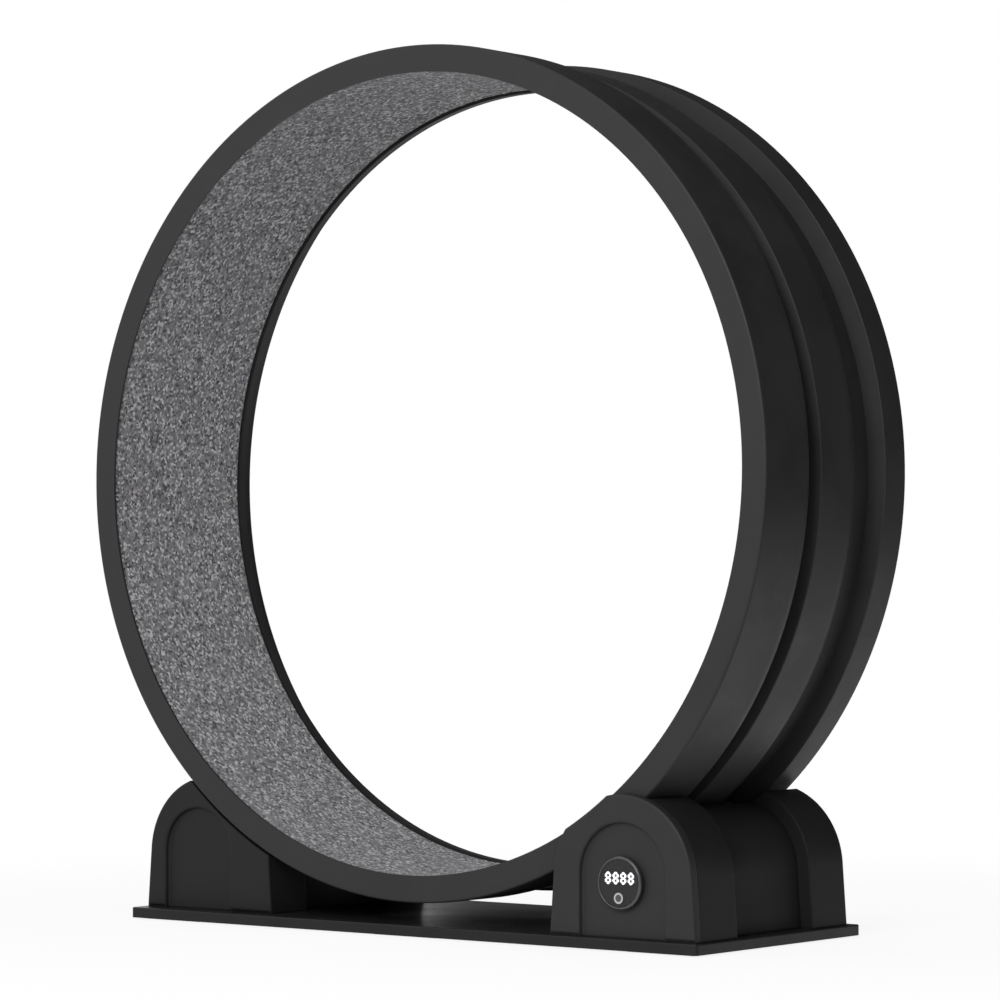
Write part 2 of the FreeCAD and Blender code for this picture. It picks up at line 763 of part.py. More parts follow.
def drum_segment(index):
    body = new_body(f"drum_segment_{index + 1}")
    section = new_sketch(body, "XY_Plane")
    ring_corner = "(wheel_radius - ring_round)"
    ring_end = "(drum_front + ring_round)"
    crest_start = "(ridge_front + crest_round)"
    rear_start = "(rear_lip_front + crest_round)"
    draw(section, [
        ("ring_inner_radius", "drum_front"),
        (ring_corner, "drum_front", (ring_corner, ring_end)),
        ("wheel_radius", ring_end),
        ("wheel_radius", "lip_end", ("wheel_radius - lip_curve", "lip_end")),
        ("track_radius", "groove_start"),
        ("track_radius", "ridge_foot"),
        ("ridge_radius - crest_round", "ridge_front", ("ridge_radius - crest_round", crest_start)),
        ("ridge_radius", crest_start),
        ("ridge_radius", "ridge_end", ("ridge_radius - ridge_curve", "ridge_end")),
        ("track_radius", "rear_groove_start"),
        ("track_radius", "rear_lip_front - wall_lean"),
        ("wheel_radius - crest_round", "rear_lip_front", ("wheel_radius - crest_round", rear_start)),
        ("wheel_radius", rear_start),
        ("wheel_radius", "rear_flat_end", ("wheel_radius - rear_round", "rear_flat_end")),
        ("wheel_radius - rear_round", "drum_rear"),
        ("mouth_radius", "drum_rear"),
        ("mouth_radius", "bead_end + mouth_ramp"),
        ("ring_inner_radius", "bead_end"),
        ("ring_inner_radius", "mat_rear"),
        ("mat_seat_radius", "mat_rear"),
        ("mat_seat_radius", "mat_front"),
        ("ring_inner_radius", "mat_front"),
    ])
    revolve(body, section, "360 / segment_count")
    for turn, far_end in (("0", False), ("360 / segment_count", True)):
        sockets = new_sketch(body, "XY_Plane")
        sockets.AttachmentOffset = Placement(Vector(), Rotation(Vector(0, 1, 0), size(turn)))
        for row, width in key_rows():
            draw_box(sockets, "key_radius - key_height / 2", "key_radius + key_height / 2",
                     f"{row} - {width} / 2", f"{row} + {width} / 2")
        if index == 0 and not far_end:
            draw_circle(sockets, "key_radius", "magnet_row", "magnet_radius + fit_gap")
        pocket(body, sockets, "key_depth", backwards=far_end)
    body.Placement = turned(Placement(), f"seam_turn + {index} * 360 / segment_count")


def seam_keys():
    keys = []
    for index in range(int(size("segment_count"))):
        for row, width in key_rows():
            key = solid("Box", f"seam_key_{len(keys)}", Length="key_height - 2 * fit_gap",
                        Width=f"{width} - 2 * fit_gap", Height="2 * (key_depth - fit_gap)")
            corner = Vector(size("key_radius - key_height / 2 + fit_gap"),
                            size(f"{row} - {width} / 2 + fit_gap"), size("fit_gap - key_depth"))
            seam = f"seam_turn + {index} * 360 / segment_count"
            key.Placement = turned(Placement(corner, Rotation()), seam)
            keys.append(key)
    group("seam_keys", keys)


def counter_magnet():
    magnet = solid("Cylinder", "counter_magnet", Radius="magnet_radius", Height="key_depth - fit_gap")
    magnet.Label = "counter_magnet"
    foot = Vector(size("key_radius"), size("magnet_row"), size("fit_gap - key_depth"))
    magnet.Placement = turned(Placement(foot, Rotation()), "seam_turn")
    subparts.append(magnet)


def running_mat():
    body = new_body("running_mat")
    section = new_sketch(body, "XY_Plane")
    draw_box(section, "mat_seat_radius - mat_thickness", "mat_seat_radius - glue_gap",
             "mat_front + glue_gap", "mat_rear - glue_gap")
    revolve(body, section)
    place(body, z="wheel_height")


# rollers and what carries them


def roller(side, end):
    spot = (f"{SIDES[side]} * roller_offset", ENDS[end], "axle_height")
    rim = "(roller_radius - tyre_depth)"
    half = "(roller_width / 2)"
    hub = new_body(f"{side}_{end}_roller_hub")
    section = new_sketch(hub, "XY_Plane")
    draw_box(section, "bush_radius + run_gap", rim, f"-{half}", half)
    revolve(hub, section)
    place(hub, *spot)
    tyre = new_body(f"{side}_{end}_roller_tyre")
    section = new_sketch(tyre, "XY_Plane")
    bore = f"({rim} + fit_gap)"
    shoulder = "(roller_radius - tyre_edge)"
    draw(section, [
        (bore, f"-{half}"), (shoulder, f"-{half}"), ("roller_radius", f"tyre_edge - {half}"),
        ("roller_radius", f"{half} - tyre_edge"), (shoulder, half), (bore, half),
    ])
    revolve(tyre, section)
    place(tyre, *spot)


def roller_bracket(side, end):
    x = f"({SIDES[side]} * roller_offset)"
    y = f"({ENDS[end]})"
    body = new_body(f"{side}_{end}_bracket")
    cheeks = upright_sketch(body, f"{y} + cheek_half")
    draw(cheeks, arch(x, "bracket_half", "cheek_round", "axle_height", "plate_top"))
    pad(body, cheeks, "2 * cheek_half")
    slot = new_sketch(body, "YZ_Plane")
    draw_box(slot, f"{y} - bush_length / 2", f"{y} + bush_length / 2",
             "plate_top + bracket_foot", "axle_height + 2 * cheek_round")
    pocket(body, slot)
    bore = upright_sketch(body)
    draw_circle(bore, x, "axle_height", "axle_radius + run_gap")
    pocket(body, bore)
    pilots = new_sketch(body, "XY_Plane", "plate_top")
    for reach in ("-1", "1"):
        draw_circle(pilots, f"{x} + {reach} * (bracket_half - screw_inset)", y, "screw_radius + run_gap")
    pocket(body, pilots, "screw_grip", backwards=True)


def axles():
    # a bolt's head is on the side of the drum's middle, and its bush is clamped between the cheeks
    bolts = []
    bushes = []
    for side, sign in SIDES.items():
        for end, roller_y in ENDS.items():
            inward = "1" if end == "front" else "-1"
            x = f"{sign} * roller_offset"
            turn = Rotation(Vector(1, 0, 0), 90 if end == "front" else -90)
            spot = f"{side}_{end}"
            head = solid("Cylinder", f"axle_head_{spot}", Radius="axle_head_radius", Height="axle_head")
            shank = solid("Cylinder", f"axle_shank_{spot}", Radius="axle_radius",
                          Height="axle_head + 2 * cheek_half")
            bolt = doc.addObject("Part::Fuse", f"axle_bolt_{spot}")
            bolt.Base = head
            bolt.Tool = shank
            bolt.Placement = Placement(Vector(), turn)
            place(bolt, x, f"{roller_y} + {inward} * (cheek_half + axle_head)", "axle_height")
            bolts.append(bolt)
            sleeve = solid("Cylinder", f"bush_sleeve_{spot}", Radius="bush_radius", Height="bush_length")
            hole = solid("Cylinder", f"bush_hole_{spot}", Radius="axle_radius + run_gap",
                         Height="bush_length")
            bush = doc.addObject("Part::Cut", f"bush_{spot}")
            bush.Base = sleeve
            bush.Tool = hole
            bush.Placement = Placement(Vector(), turn)
            place(bush, x, f"{roller_y} + {inward} * bush_length / 2", "axle_height")
            bushes.append(bush)
    group("axle_bolts", bolts)
    group("axle_bushes", bushes)


base_plate()
anti_slip_pads()
base_screws()
for side in SIDES:
    housing(side, "front", has_panel=side == "left")
    middle_cover(side)
    housing(side, "rear", has_panel=True)
console_cover()
console_screws()
display_bezel()
display_window()
circuit_board()
digit_module()
button_switch()
push_button()
cell_holder()
coin_cell()
counter_sensor()
for index in range(int(size("segment_count"))):
    drum_segment(index)
seam_keys()
counter_magnet()
running_mat()
for side in SIDES:
    for end in ENDS:
        roller(side, end)
        roller_bracket(side, end)
axles()
doc.recompute()

for item in doc.Objects:
    if "Invalid" in item.State or "Error" in item.State:
        raise RuntimeError(f"{item.Label} failed: {item.State}")
for item in subparts:
    if item.Shape.isNull() or not item.Shape.isValid():
        raise RuntimeError(f"{item.Label} has no valid shape")

os.makedirs("parts", exist_ok=True)
for item in subparts:
    item.Shape.exportStep(f"parts/{item.Label}.step")
print(f"{len(subparts)} sub-parts written")
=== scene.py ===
import json
import math

import bmesh
import bpy
import numpy as np
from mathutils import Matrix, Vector


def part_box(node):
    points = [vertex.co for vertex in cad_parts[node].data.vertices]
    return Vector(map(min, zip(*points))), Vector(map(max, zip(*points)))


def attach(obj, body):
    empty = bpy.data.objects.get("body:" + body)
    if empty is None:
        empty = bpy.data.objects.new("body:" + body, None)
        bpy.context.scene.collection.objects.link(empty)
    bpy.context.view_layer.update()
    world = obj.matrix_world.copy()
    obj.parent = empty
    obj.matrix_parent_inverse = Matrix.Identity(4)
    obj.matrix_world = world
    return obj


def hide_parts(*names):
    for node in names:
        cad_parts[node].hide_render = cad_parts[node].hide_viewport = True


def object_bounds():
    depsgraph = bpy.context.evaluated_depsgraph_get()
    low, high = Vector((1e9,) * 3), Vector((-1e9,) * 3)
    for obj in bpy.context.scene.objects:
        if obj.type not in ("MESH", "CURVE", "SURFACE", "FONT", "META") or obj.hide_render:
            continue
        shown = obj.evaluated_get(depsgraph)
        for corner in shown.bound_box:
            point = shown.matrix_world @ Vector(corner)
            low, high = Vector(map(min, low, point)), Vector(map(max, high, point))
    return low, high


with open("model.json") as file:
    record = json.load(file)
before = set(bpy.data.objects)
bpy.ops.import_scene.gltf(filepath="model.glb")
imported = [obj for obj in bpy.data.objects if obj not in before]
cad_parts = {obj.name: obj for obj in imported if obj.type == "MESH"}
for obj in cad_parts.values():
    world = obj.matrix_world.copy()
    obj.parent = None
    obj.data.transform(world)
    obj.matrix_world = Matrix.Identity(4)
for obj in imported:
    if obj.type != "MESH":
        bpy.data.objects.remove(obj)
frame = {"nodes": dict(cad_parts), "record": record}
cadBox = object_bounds()
nodes = frame["nodes"]
print("frame loaded:", len(nodes), "nodes")


# camera at the photograph's angle

cameraView = {
    "azimuth": 37.57,             # degrees, to the right of straight in front
    "elevation": -1.24,
    "distance": 4.728,            # metres from the aim
    "aim": (0.0203, 0.0007, 0.509),
    "lens": 142.83,               # mm, on a 36 mm sensor
    "sensor": 36,
}


def setUpCamera():
    turn = math.radians(cameraView["azimuth"])
    rise = math.radians(cameraView["elevation"])
    back = Vector((math.sin(turn) * math.cos(rise), -math.cos(turn) * math.cos(rise), math.sin(rise)))
    data = bpy.data.cameras.new("photoCamera")
    data.lens = cameraView["lens"]
    data.sensor_width = cameraView["sensor"]
    camera = bpy.data.objects.new("photoCamera", data)
    camera.location = Vector(cameraView["aim"]) + back * cameraView["distance"]
    camera.rotation_euler = (-back).to_track_quat("-Z", "Y").to_euler()
    bpy.context.scene.collection.objects.link(camera)
    bpy.context.scene.camera = camera


setUpCamera()
print("camera set")


# shared effects, each a shader node group

def newGroup(name, inputs, outputs):
    tree = bpy.data.node_groups.new(name, "ShaderNodeTree")
    for label, kind, value in inputs:
        socket = tree.interface.new_socket(label, in_out="INPUT", socket_type=kind)
        if value is not None:
            socket.default_value = value
    for label, kind in outputs:
        tree.interface.new_socket(label, in_out="OUTPUT", socket_type=kind)
    entry = tree.nodes.new("NodeGroupInput")
    result = tree.nodes.new("NodeGroupOutput")
    return tree, entry, result


def mathNode(tree, operation, first, second=None, clamp=False):
    node = tree.nodes.new("ShaderNodeMath")
    node.operation = operation
    node.use_clamp = clamp
    for socket, value in zip(node.inputs, (first, second)):
        if isinstance(value, (int, float)):
            socket.default_value = value
        elif value is not None:
            tree.links.new(value, socket)
    return node.outputs["Value"]


def noiseNode(tree, vector, scale, detail=3.0, roughness=0.55):
    node = tree.nodes.new("ShaderNodeTexNoise")
    node.inputs["Detail"].default_value = detail
    node.inputs["Roughness"].default_value = roughness
    tree.links.new(vector, node.inputs["Vector"])
    if isinstance(scale, (int, float)):
        node.inputs["Scale"].default_value = scale
    else:
        tree.links.new(scale, node.inputs["Scale"])
    return node.outputs["Fac"]


def rangeNode(tree, value, low, high, newLow=0.0, newHigh=1.0):
    node = tree.nodes.new("ShaderNodeMapRange")
    node.interpolation_type = "SMOOTHSTEP"
    tree.links.new(value, node.inputs["Value"])
    limits = {"From Min": low, "From Max": high, "To Min": newLow, "To Max": newHigh}
    for label, limit in limits.items():
        node.inputs[label].default_value = limit
    return node.outputs["Result"]


grainLook = {
    "fineDetail": 2.0,
    "patchScale": 9.0,            # broad patches to a metre
    "patchDetail": 4.0,
    "patchRange": (0.3, 0.7),
}


def buildMouldedGrain():    # fine texture of a spark-eroded mould, with broad uneven patches
    tree, entry, result = newGroup(
        "mouldedGrain",
        [("Vector", "NodeSocketVector", None), ("Grain Size", "NodeSocketFloat", 0.0009)],
        [("Height", "NodeSocketFloat"), ("Patches", "NodeSocketFloat")])
    scale = mathNode(tree, "DIVIDE", 1.0, entry.outputs["Grain Size"])
    cells = tree.nodes.new("ShaderNodeTexVoronoi")
    cells.feature = "SMOOTH_F1"
    tree.links.new(entry.outputs["Vector"], cells.inputs["Vector"])
    tree.links.new(scale, cells.inputs["Scale"])
    fine = noiseNode(tree, entry.outputs["Vector"], scale, detail=grainLook["fineDetail"])
    height = mathNode(tree, "MULTIPLY", cells.outputs["Distance"], fine)
    tree.links.new(height, result.inputs["Height"])
    broad = noiseNode(tree, entry.outputs["Vector"], grainLook["patchScale"], detail=grainLook["patchDetail"])
    tree.links.new(rangeNode(tree, broad, *grainLook["patchRange"]), result.inputs["Patches"])
    return tree


edgeLook = {
    "samples": 4,
    "turnRange": (0.99, 0.8),     # cosine between the flat and the rounded normal
    "breakScale": 60.0,
    "breakDetail": 5.0,
    "breakRange": (0.35, 0.65),
    "leastWearSheen": 0.35,
}


def buildEdgeWearAndSheen():    # corners paler: partly worn smooth by handling, partly a painted highlight along the edges
    tree, entry, result = newGroup(
        "edgeWearAndSheen",
        [("Vector", "NodeSocketVector", None), ("Reach", "NodeSocketFloat", 0.002)],
        [("Mask", "NodeSocketFloat")])
    bevel = tree.nodes.new("ShaderNodeBevel")
    bevel.samples = edgeLook["samples"]
    tree.links.new(entry.outputs["Reach"], bevel.inputs["Radius"])
    surface = tree.nodes.new("ShaderNodeNewGeometry")
    turnAway = tree.nodes.new("ShaderNodeVectorMath")
    turnAway.operation = "DOT_PRODUCT"
    tree.links.new(bevel.outputs["Normal"], turnAway.inputs[0])
    tree.links.new(surface.outputs["Normal"], turnAway.inputs[1])
    edge = rangeNode(tree, turnAway.outputs["Value"], *edgeLook["turnRange"])
    broken = noiseNode(tree, entry.outputs["Vector"], edgeLook["breakScale"], detail=edgeLook["breakDetail"])
    edgeBreakup = rangeNode(tree, broken, *edgeLook["breakRange"], edgeLook["leastWearSheen"], 1.0)
    tree.links.new(mathNode(tree, "MULTIPLY", edge, edgeBreakup), result.inputs["Mask"])
    return tree


smudgeLook = {
    "blotDetail": 2.0,
    "blotRange": (0.48, 0.7),
    "streakFineness": 6.0,        # streaks to a blot
    "streakDetail": 6.0,
    "streakRange": (0.3, 0.7),
}


def buildHandSmudges():    # soft prints left on smooth faces
    tree, entry, result = newGroup(
        "handSmudges",
        [("Vector", "NodeSocketVector", None), ("Spread", "NodeSocketFloat", 0.03)],
        [("Mask", "NodeSocketFloat")])
    scale = mathNode(tree, "DIVIDE", 1.0, entry.outputs["Spread"])
    blot = noiseNode(tree, entry.outputs["Vector"], scale, detail=smudgeLook["blotDetail"])
    fine = mathNode(tree, "MULTIPLY", scale, smudgeLook["streakFineness"])
    streak = noiseNode(tree, entry.outputs["Vector"], fine, detail=smudgeLook["streakDetail"])
    mask = mathNode(tree, "MULTIPLY", rangeNode(tree, blot, *smudgeLook["blotRange"]),
                    rangeNode(tree, streak, *smudgeLook["streakRange"]))
    tree.links.new(mask, result.inputs["Mask"])
    return tree


dustLook = {
    "facingRange": (0.45, 0.95),    # upward share of the normal
    "lintDetail": 6.0,
    "lintRoughness": 0.7,
    "lintRange": (0.5, 0.75),
}


def buildSettledDust():    # pale lint on faces that look up
    tree, entry, result = newGroup(
        "settledDust",
        [("Vector", "NodeSocketVector", None), ("Lint Size", "NodeSocketFloat", 0.004)],
        [("Mask", "NodeSocketFloat")])
    surface = tree.nodes.new("ShaderNodeNewGeometry")
    split = tree.nodes.new("ShaderNodeSeparateXYZ")
    tree.links.new(surface.outputs["Normal"], split.inputs["Vector"])
    facingUp = rangeNode(tree, split.outputs["Z"], *dustLook["facingRange"])
    scale = mathNode(tree, "DIVIDE", 1.0, entry.outputs["Lint Size"])
    lint = noiseNode(tree, entry.outputs["Vector"], scale, dustLook["lintDetail"], dustLook["lintRoughness"])
    mask = mathNode(tree, "MULTIPLY", facingUp, rangeNode(tree, lint, *dustLook["lintRange"]))
    tree.links.new(mask, result.inputs["Mask"])
    return tree


cornerSamples = 6


def buildSoftCorners():    # moulded corners, rounder in the light than their mesh
    tree, entry, result = newGroup(
        "softCorners",
        [("Radius", "NodeSocketFloat", 0.001)],
        [("Normal", "NodeSocketVector")])
    bevel = tree.nodes.new("ShaderNodeBevel")
    bevel.samples = cornerSamples
    tree.links.new(entry.outputs["Radius"], bevel.inputs["Radius"])
    tree.links.new(bevel.outputs["Normal"], result.inputs["Normal"])
    return tree


effects = {
    "grain": buildMouldedGrain(),
    "edges": buildEdgeWearAndSheen(),
    "smudges": buildHandSmudges(),
    "dust": buildSettledDust(),
    "corners": buildSoftCorners(),
}


def newMaterial(name, settings):
    material = bpy.data.materials.new(name)
    material.use_nodes = True
    tree = material.node_tree
    shader = tree.nodes["Principled BSDF"]
    for label, value in settings.get("shader", {}).items():
        shader.inputs[label].default_value = value
    coords = tree.nodes.new("ShaderNodeTexCoord")
    return material, tree, shader, coords.outputs["Object"]


def placeEffect(tree, effect, vector, values):
    node = tree.nodes.new("ShaderNodeGroup")
    node.node_tree = effects[effect]
    if vector is not None:
        tree.links.new(vector, node.inputs["Vector"])
    for label, value in values.items():
        node.inputs[label].default_value = value
    return node.outputs


def mixColours(tree, mask, first, second, amount=1.0):
    node = tree.nodes.new("ShaderNodeMix")
    node.data_type = "RGBA"
    if amount != 1.0:
        mask = mathNode(tree, "MULTIPLY", mask, amount)
    tree.links.new(mask, node.inputs["Factor"])
    for label, value in (("A", first), ("B", second)):
        socket = next(s for s in node.inputs if s.name == label and s.type == "RGBA")
        if isinstance(value, tuple):
            socket.default_value = (*value, 1.0)
        else:
            tree.links.new(value, socket)
    return next(s for s in node.outputs if s.type == "RGBA")


def addBump(tree, shader, height, strength, distance, softEdge=0.0):
    bump = tree.nodes.new("ShaderNodeBump")
    bump.inputs["Strength"].default_value = strength
    bump.inputs["Distance"].default_value = distance
    tree.links.new(height, bump.inputs["Height"])
    if softEdge:
        corners = placeEffect(tree, "corners", None, {"Radius": softEdge})
        tree.links.new(corners["Normal"], bump.inputs["Normal"])
    tree.links.new(bump.outputs["Normal"], shader.inputs["Normal"])


def mouldedPlastic(name, settings):
    material, tree, shader, vector = newMaterial(name, settings)
    grain = placeEffect(tree, "grain", vector, {"Grain Size": settings["grainSize"]})
    edges = placeEffect(tree, "edges", vector, {"Reach": settings["edgeReach"]})
    smudges = placeEffect(tree, "smudges", vector, {"Spread": settings["smudgeSpread"]})
    colour = mixColours(tree, grain["Patches"], settings["deepColour"], settings["paleColour"])
    # paler edges: handling scuffs plus a painted highlight
    colour = mixColours(tree, edges["Mask"], colour, settings["edgeWearSheenColour"], settings["edgeWearSheen"])
    if settings["dusty"]:
        dust = placeEffect(tree, "dust", vector, {"Lint Size": settings["lintSize"]})
        colour = mixColours(tree, dust["Mask"], colour, settings["lintColour"], settings["dusty"])
    tree.links.new(colour, shader.inputs["Base Color"])
    low, high = settings["roughness"]
    roughness = rangeNode(tree, grain["Patches"], 0.0, 1.0, low, high)
    shine = mathNode(tree, "MULTIPLY", smudges["Mask"], settings["smudgeShine"])
    tree.links.new(mathNode(tree, "SUBTRACT", roughness, shine, clamp=True), shader.inputs["Roughness"])
    depth = settings["grainSize"] * settings["grainDepth"]
    addBump(tree, shader, grain["Height"], settings["bumpStrength"], depth, settings["softEdge"])
    return material


shellFinish = {
    "shader": {"Specular IOR Level": 0.18},
    "deepColour": (0.0085, 0.0085, 0.0088),
    "paleColour": (0.0105, 0.0105, 0.0108),
    # edge colour: partly worn by handling, partly a painted highlight
    "edgeWearSheenColour": (0.04, 0.04, 0.041),
    "edgeWearSheen": 0.18,
    "roughness": (0.5, 0.58),
    "grainSize": 0.0011,
    "grainDepth": 0.3,            # share of the grain's size
    "edgeReach": 0.0022,
    "smudgeSpread": 0.06,
    "smudgeShine": 0.06,
    "bumpStrength": 0.25,
    "softEdge": 0.004,            # metres, moulded corners
    "dusty": 0.06,
    "lintSize": 0.003,
    "lintColour": (0.2, 0.2, 0.2),
}

consolePaintedLightFinish = {    # the housings' plastic, a little glossier, its colour made paler as painted light for the console's brighter face
    **shellFinish,
    "shader": {"Specular IOR Level": 0.26},
    "deepColour": (0.014, 0.014, 0.0144),
    "paleColour": (0.017, 0.017, 0.0174),
}

drumFinish = {
    **shellFinish,
    "shader": {"Specular IOR Level": 0.25},
    "deepColour": (0.014, 0.014, 0.0145),
    "paleColour": (0.018, 0.018, 0.0185),
    "roughness": (0.46, 0.55),
    "grainSize": 0.0014,
    "softEdge": 0,
    "dusty": 0,
}

plateFinish = {
    **shellFinish,
    "deepColour": (0.009, 0.009, 0.0093),
    "paleColour": (0.012, 0.012, 0.0124),
    "roughness": (0.3, 0.4),
    "grainSize": 0.0018,
    "smudgeSpread": 0.12,
    "edgeWearSheen": 0.15,
    "softEdge": 0.0012,
    "dusty": 0.1,
}

bracketFinish = {
    **shellFinish,
    "deepColour": (0.05, 0.05, 0.05),
    "paleColour": (0.065, 0.065, 0.065),
    "edgeWearSheenColour": (0.14, 0.14, 0.14),
    "grainSize": 0.0008,
    "softEdge": 0,
}

moduleFinish = {
    **shellFinish,
    "deepColour": (0.02, 0.02, 0.02),
    "paleColour": (0.026, 0.026, 0.026),
    "grainSize": 0.0005,
    "edgeReach": 0.0004,
    "softEdge": 0,
    "smudgeSpread": 0.008,
    "dusty": 0,
}

nylonFinish = {
    **shellFinish,
    "shader": {"Specular IOR Level": 0.4, "Subsurface Weight": 0.15, "Subsurface Scale": 0.004},
    "deepColour": (0.52, 0.51, 0.47),
    "paleColour": (0.6, 0.59, 0.55),
    "edgeWearSheenColour": (0.42, 0.41, 0.38),
    "roughness": (0.36, 0.46),
    "grainSize": 0.0009,
    "softEdge": 0,
}

bezelFinish = {
    **shellFinish,
    "shader": {"Specular IOR Level": 0.7, "Coat Weight": 0.5, "Coat Roughness": 0.12},
    "deepColour": (0.012, 0.012, 0.0125),
    "paleColour": (0.015, 0.015, 0.0155),
    "edgeWearSheenColour": (0.04, 0.04, 0.04),
    "roughness": (0.24, 0.32),
    "grainSize": 0.0006,
    "softEdge": 0.0015,
    "edgeReach": 0.0008,
    "smudgeSpread": 0.012,
    "smudgeShine": -0.12,
    "bumpStrength": 0.06,
    "dusty": 0,
}

buttonFinish = {
    **bezelFinish,
    "deepColour": (0.01, 0.01, 0.0105),
    "paleColour": (0.013, 0.013, 0.0135),
    "roughness": (0.32, 0.4),
    "grainSize": 0.0004,
    "edgeReach": 0.0005,
    "smudgeSpread": 0.006,
}


carpetFinish = {
    "shader": {"Specular IOR Level": 0.08, "Sheen Weight": 0.12, "Sheen Roughness": 0.6},
    "loopSize": 0.003,            # metres, one yarn loop
    "deepColour": (0.03, 0.03, 0.032),
    "middleColour": (0.16, 0.158, 0.163),
    "paleColour": (0.47, 0.47, 0.48),
    "warmTint": (0.225, 0.185, 0.206),
    "coolTint": (0.152, 0.163, 0.208),
    "tinted": 0.4,
    "darkRange": (0.0, 0.5),      # which loops are dark, pale or tinted
    "paleRange": (0.6, 1.0),
    "tintRange": (0.7, 1.0),
    "fibreSize": 0.3,             # share of a loop
    "wornColour": (0.21, 0.21, 0.214),
    "worn": 0.12,
    "roughness": (0.85, 1.0),
    "bumpStrength": 0.7,
    "loopHeight": 0.0012,
}


def carpetLoops(name, settings):
    material, tree, shader, vector = newMaterial(name, settings)
    scale = 1.0 / settings["loopSize"]
    loops = tree.nodes.new("ShaderNodeTexVoronoi")
    loops.inputs["Scale"].default_value = scale
    tree.links.new(vector, loops.inputs["Vector"])
    split = tree.nodes.new("ShaderNodeSeparateColor")
    tree.links.new(loops.outputs["Color"], split.inputs["Color"])
    darkMask = rangeNode(tree, split.outputs["Red"], *settings["darkRange"], 1.0, 0.0)
    paleMask = rangeNode(tree, split.outputs["Red"], *settings["paleRange"])
    colour = mixColours(tree, darkMask, settings["middleColour"], settings["deepColour"])
    colour = mixColours(tree, paleMask, colour, settings["paleColour"])
    warm = rangeNode(tree, split.outputs["Green"], *settings["tintRange"])
    cool = rangeNode(tree, split.outputs["Blue"], *settings["tintRange"])
    colour = mixColours(tree, warm, colour, settings["warmTint"], settings["tinted"])
    colour = mixColours(tree, cool, colour, settings["coolTint"], settings["tinted"])
    grain = placeEffect(tree, "grain", vector, {"Grain Size": settings["loopSize"] * settings["fibreSize"]})
    colour = mixColours(tree, grain["Patches"], colour, settings["wornColour"], settings["worn"])
    tree.links.new(colour, shader.inputs["Base Color"])
    low, high = settings["roughness"]
    tree.links.new(rangeNode(tree, split.outputs["Green"], 0.0, 1.0, low, high), shader.inputs["Roughness"])
    crown = mathNode(tree, "SUBTRACT", grain["Height"], loops.outputs["Distance"])
    addBump(tree, shader, crown, settings["bumpStrength"], settings["loopHeight"])
    return material


rubberFinish = {
    "shader": {"Specular IOR Level": 0.25},
    "deepColour": (0.028, 0.028, 0.028),
    "paleColour": (0.05, 0.05, 0.049),
    "scuffColour": (0.12, 0.12, 0.115),
    "scuffed": 0.5,
    "roughness": (0.72, 0.9),
    "grainSize": 0.0007,
    "grainDepth": 0.4,
    "smudgeSpread": 0.02,
    "bumpStrength": 0.35,
}


def rubberSkin(name, settings):
    material, tree, shader, vector = newMaterial(name, settings)
    grain = placeEffect(tree, "grain", vector, {"Grain Size": settings["grainSize"]})
    scuffs = placeEffect(tree, "smudges", vector, {"Spread": settings["smudgeSpread"]})
    colour = mixColours(tree, grain["Patches"], settings["deepColour"], settings["paleColour"])
    colour = mixColours(tree, scuffs["Mask"], colour, settings["scuffColour"], settings["scuffed"])
    tree.links.new(colour, shader.inputs["Base Color"])
    low, high = settings["roughness"]
    tree.links.new(rangeNode(tree, scuffs["Mask"], 0.0, 1.0, low, high), shader.inputs["Roughness"])
    depth = settings["grainSize"] * settings["grainDepth"]
    addBump(tree, shader, grain["Height"], settings["bumpStrength"], depth)
    return material


steelFinish = {
    "shader": {"Metallic": 1.0},
    "deepColour": (0.42, 0.42, 0.43),
    "paleColour": (0.58, 0.58, 0.58),
    "edgeWearSheenColour": (0.72, 0.72, 0.72),
    "edgeWearSheen": 0.6,
    "roughness": (0.28, 0.42),
    "grainSize": 0.0005,
    "edgeReach": 0.0005,
    "turningPitch": 0.0004,       # tool marks
    "markScale": 0.05,            # wave texture's scale, times the pitch
    "markDepth": 0.2,             # share of the pitch
    "markWander": 1.5,
    "bumpStrength": 0.12,
}

brassFinish = {
    **steelFinish,
    "deepColour": (0.5, 0.36, 0.14),
    "paleColour": (0.64, 0.48, 0.21),
    "edgeWearSheenColour": (0.8, 0.64, 0.33),
    "roughness": (0.25, 0.36),
}


def turnedMetal(name, settings):
    material, tree, shader, vector = newMaterial(name, settings)
    grain = placeEffect(tree, "grain", vector, {"Grain Size": settings["grainSize"]})
    edges = placeEffect(tree, "edges", vector, {"Reach": settings["edgeReach"]})
    colour = mixColours(tree, grain["Patches"], settings["deepColour"], settings["paleColour"])
    # paler edges: handling scuffs plus a painted highlight
    colour = mixColours(tree, edges["Mask"], colour, settings["edgeWearSheenColour"], settings["edgeWearSheen"])
    tree.links.new(colour, shader.inputs["Base Color"])
    low, high = settings["roughness"]
    tree.links.new(rangeNode(tree, grain["Patches"], 0.0, 1.0, low, high), shader.inputs["Roughness"])
    marks = tree.nodes.new("ShaderNodeTexWave")
    marks.bands_direction = "Y"
    marks.inputs["Scale"].default_value = settings["markScale"] / settings["turningPitch"]
    marks.inputs["Distortion"].default_value = settings["markWander"]
    tree.links.new(vector, marks.inputs["Vector"])
    depth = settings["turningPitch"] * settings["markDepth"]
    addBump(tree, shader, marks.outputs["Fac"], settings["bumpStrength"], depth)
    return material


boardFinish = {
    "shader": {"Specular IOR Level": 0.5, "Coat Weight": 0.3},
    "resistColour": (0.012, 0.085, 0.035),
    "copperColour": (0.03, 0.16, 0.07),
    "trackPitch": 0.0022,
    "trackEdge": (0.22, 0.18),    # share of the pitch where the copper starts and is full
    "roughness": (0.3, 0.4),
    "grainSize": 0.0006,
    "bumpStrength": 0.2,
    "trackHeight": 0.00005,
}


